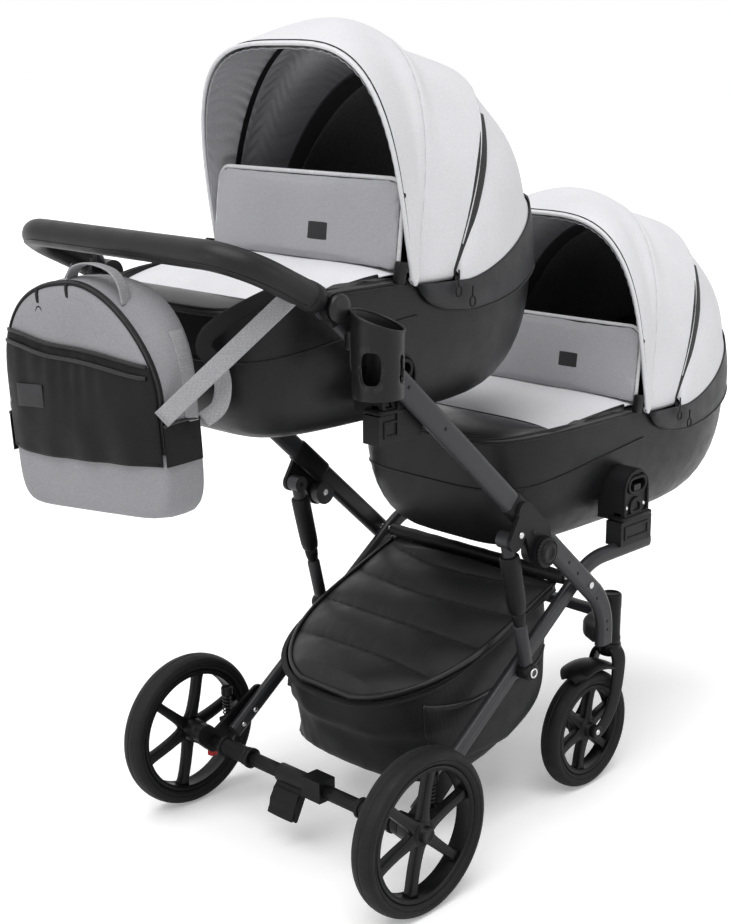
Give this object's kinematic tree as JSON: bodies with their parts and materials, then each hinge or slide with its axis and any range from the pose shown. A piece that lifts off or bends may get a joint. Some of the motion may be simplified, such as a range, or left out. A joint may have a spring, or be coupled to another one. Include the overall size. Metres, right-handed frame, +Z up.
{
  "type": "twin pram",
  "caption": "Folding tandem twin pram with two hooded carrycots, one above and behind the other, swivel casters, padded handle, bag, cup holder and quilted basket",
  "frame": {"origin": "on the ground, midway between left and right wheels and under the middle of the pram's length", "axes": "+Z up, +Y the way the pram is pushed, +X the pusher's right hand"},
  "size_m": [0.6783, 1.5744, 1.442],
  "materials": {
    "tube_paint": "satin",
    "hard_plastic": "fine matte",
    "button_plastic": "matte",
    "red_plastic": "gloss",
    "cup_plastic": "matte",
    "bolt_steel": "brushed",
    "spring_steel": "dark",
    "rim_plastic": "satin",
    "tyre_foam": "matte",
    "grip_leather": "grained",
    "shell_leather": "grained",
    "skirt_leather": "grained",
    "hood_cloth": "heather weave",
    "apron_cloth": "heather weave",
    "mattress_cloth": "jersey",
    "basket_cloth": "nylon",
    "bag_cloth": "heather weave",
    "strap_webbing": "webbing"
  },
  "bodies": {
    "chassis": {"lower_tube_left": "tube_paint", "lower_tube_right": "tube_paint", "front_crossbar": "hard_plastic", "caster_housings": "hard_plastic", "pivot_bolts": "bolt_steel", "basket_body": "basket_cloth"},
    "basket_lid": {"basket_lid": "basket_cloth"},
    "push_frame": {"upper_tube_left": "tube_paint", "upper_tube_right": "tube_paint", "fold_knuckles": "hard_plastic", "upper_adapters": "hard_plastic", "cup_holder": "cup_plastic"},
    "rear_frame": {"rear_leg_left": "tube_paint", "rear_leg_right": "tube_paint", "rear_axle": "tube_paint", "rear_brackets": "hard_plastic", "suspension_springs": "spring_steel", "lower_adapters": "hard_plastic"},
    "struts": {"strut_sleeves": "tube_paint", "strut_rods": "tube_paint"},
    "handle": {"handle_grip": "grip_leather", "handle_lugs": "hard_plastic"},
    "bag": {"bag_body": "bag_cloth", "bag_straps": "strap_webbing"},
    "brake_pedal": {"brake_pedal": "hard_plastic"},
    "handle_button_left": {"handle_button_left": "button_plastic"},
    "release_button_left": {"release_button_left": "red_plastic"},
    "rear_wheel_left": {"rear_tyre_left": "tyre_foam", "rear_rim_left": "rim_plastic"},
    "caster_left": {"caster_fork_left": "hard_plastic"},
    "front_wheel_left": {"front_tyre_left": "tyre_foam", "front_rim_left": "rim_plastic"},
    "handle_button_right": {"handle_button_right": "button_plastic"},
    "release_button_right": {"release_button_right": "red_plastic"},
    "rear_wheel_right": {"rear_tyre_right": "tyre_foam", "rear_rim_right": "rim_plastic"},
    "caster_right": {"caster_fork_right": "hard_plastic"},
    "front_wheel_right": {"front_tyre_right": "tyre_foam", "front_rim_right": "rim_plastic"},
    "upper_cot": {"upper_cot_shell": "shell_leather", "upper_mattress": "mattress_cloth", "upper_apron": "apron_cloth", "upper_receivers": "hard_plastic", "upper_hood_rear": "hood_cloth", "upper_hood_skirt": "skirt_leather"},
    "upper_hood_middle": {"upper_hood_middle": "hood_cloth"},
    "upper_hood_front": {"upper_hood_front": "hood_cloth"},
    "upper_wind_flap": {"upper_wind_flap": "apron_cloth"},
    "upper_cot_release": {"upper_cot_release": "button_plastic"},
    "lower_cot": {"lower_cot_shell": "shell_leather", "lower_mattress": "mattress_cloth", "lower_apron": "apron_cloth", "lower_receivers": "hard_plastic", "lower_hood_rear": "hood_cloth", "lower_hood_skirt": "skirt_leather"},
    "lower_hood_middle": {"lower_hood_middle": "hood_cloth"},
    "lower_hood_front": {"lower_hood_front": "hood_cloth"},
    "lower_wind_flap": {"lower_wind_flap": "apron_cloth"},
    "lower_cot_release": {"lower_cot_release": "button_plastic"}
  },
  "joints": [
    {"name": "frame_fold", "type": "hinge", "parent": "chassis", "child": "push_frame", "pos_m": [0, -0.06514, 0.54917], "axis": [1, 0, 0], "range_deg": [0, 100]},
    {"name": "rear_leg_fold", "type": "hinge", "parent": "chassis", "child": "rear_frame", "pos_m": [0, 0.087, 0.447], "axis": [1, 0, 0], "range_deg": [0, 43]},
    {"name": "strut_swing", "type": "hinge", "parent": "push_frame", "child": "struts", "pos_m": [0, -0.13514, 0.58017], "axis": [1, 0, 0], "range_deg": [-80, 0]},
    {"name": "handle_tilt", "type": "hinge", "parent": "push_frame", "child": "handle", "pos_m": [0, -0.55, 1.031], "axis": [1, 0, 0], "range_deg": [-28, 12]},
    {"name": "bag_swing", "type": "hinge", "parent": "handle", "child": "bag", "pos_m": [0, -0.61796, 1.06503], "axis": [1, 0, 0], "range_deg": [-12, 28]},
    {"name": "brake_pedal_turn", "type": "hinge", "parent": "rear_frame", "child": "brake_pedal", "pos_m": [0, -0.37, 0.126], "axis": [1, 0, 0], "range_deg": [0, 30]},
    {"name": "basket_lid_open", "type": "hinge", "parent": "chassis", "child": "basket_lid", "pos_m": [0, 0.072, 0.429], "axis": [1, 0, 0], "range_deg": [-35, 0]},
    {"name": "handle_button_left_press", "type": "slide", "parent": "handle", "child": "handle_button_left", "axis": [1, 0, 0], "range_m": [0, 0.003], "stiffness_N_per_m": 600},
    {"name": "release_button_left_press", "type": "slide", "parent": "rear_frame", "child": "release_button_left", "axis": [0, 0, 1], "range_m": [0, 0.003], "stiffness_N_per_m": 600},
    {"name": "rear_wheel_left_spin", "type": "hinge", "parent": "rear_frame", "child": "rear_wheel_left", "pos_m": [-0.296, -0.39, 0.145], "axis": [1, 0, 0], "continuous": true},
    {"name": "caster_left_swivel", "type": "hinge", "parent": "chassis", "child": "caster_left", "pos_m": [-0.202, 0.253, 0.3], "axis": [0, 0, 1], "continuous": true},
    {"name": "front_wheel_left_spin", "type": "hinge", "parent": "caster_left", "child": "front_wheel_left", "pos_m": [-0.202, 0.178, 0.116], "axis": [1, 0, 0], "continuous": true},
    {"name": "handle_button_right_press", "type": "slide", "parent": "handle", "child": "handle_button_right", "axis": [-1, 0, 0], "range_m": [0, 0.003], "stiffness_N_per_m": 600},
    {"name": "release_button_right_press", "type": "slide", "parent": "rear_frame", "child": "release_button_right", "axis": [0, 0, 1], "range_m": [0, 0.003], "stiffness_N_per_m": 600},
    {"name": "rear_wheel_right_spin", "type": "hinge", "parent": "rear_frame", "child": "rear_wheel_right", "pos_m": [0.296, -0.39, 0.145], "axis": [1, 0, 0], "continuous": true},
    {"name": "caster_right_swivel", "type": "hinge", "parent": "chassis", "child": "caster_right", "pos_m": [0.202, 0.253, 0.3], "axis": [0, 0, 1], "continuous": true},
    {"name": "front_wheel_right_spin", "type": "hinge", "parent": "caster_right", "child": "front_wheel_right", "pos_m": [0.202, 0.178, 0.116], "axis": [1, 0, 0], "continuous": true},
    {"name": "upper_cot_lift", "type": "slide", "parent": "chassis", "child": "upper_cot", "axis": [0, 0, 1], "range_m": [0, 0.35]},
    {"name": "upper_hood_fold", "type": "hinge", "parent": "upper_cot", "child": "upper_hood_front", "pos_m": [0, -0.26, 1.046], "axis": [1, 0, 0], "range_deg": [-60, 0]},
    {"name": "upper_hood_middle_fold", "type": "hinge", "parent": "upper_cot", "child": "upper_hood_middle", "pos_m": [0, -0.26, 1.046], "axis": [1, 0, 0], "range_deg": [-30, 0]},
    {"name": "upper_wind_flap_fold", "type": "hinge", "parent": "upper_cot", "child": "upper_wind_flap", "pos_m": [0, -0.322, 1.0619], "axis": [1, 0, 0], "range_deg": [0, 55]},
    {"name": "upper_cot_release_slide", "type": "slide", "parent": "upper_cot", "child": "upper_cot_release", "axis": [0, 0, 1], "range_m": [0, 0.006], "stiffness_N_per_m": 400},
    {"name": "lower_cot_lift", "type": "slide", "parent": "chassis", "child": "lower_cot", "axis": [0, 0, 1], "range_m": [0, 0.35]},
    {"name": "lower_hood_fold", "type": "hinge", "parent": "lower_cot", "child": "lower_hood_front", "pos_m": [0, 0.385, 0.732], "axis": [1, 0, 0], "range_deg": [-60, 0]},
    {"name": "lower_hood_middle_fold", "type": "hinge", "parent": "lower_cot", "child": "lower_hood_middle", "pos_m": [0, 0.385, 0.732], "axis": [1, 0, 0], "range_deg": [-30, 0]},
    {"name": "lower_wind_flap_fold", "type": "hinge", "parent": "lower_cot", "child": "lower_wind_flap", "pos_m": [0, 0.323, 0.7479], "axis": [1, 0, 0], "range_deg": [0, 55]},
    {"name": "lower_cot_release_slide", "type": "slide", "parent": "lower_cot", "child": "lower_cot_release", "axis": [0, 0, 1], "range_m": [0, 0.006], "stiffness_N_per_m": 400}
  ],
  "couplings": [
    {"joint": "rear_leg_fold", "follows": "frame_fold", "ratio": 0.42},
    {"joint": "strut_swing", "follows": "frame_fold", "ratio": -0.78},
    {"joint": "bag_swing", "follows": "handle_tilt", "ratio": -1},
    {"joint": "upper_cot_lift", "follows": "frame_fold", "m_per_rad": 0.2},
    {"joint": "upper_hood_middle_fold", "follows": "upper_hood_fold", "ratio": 0.5},
    {"joint": "lower_cot_lift", "follows": "frame_fold", "m_per_rad": 0.2},
    {"joint": "lower_hood_middle_fold", "follows": "lower_hood_fold", "ratio": 0.5}
  ]
}
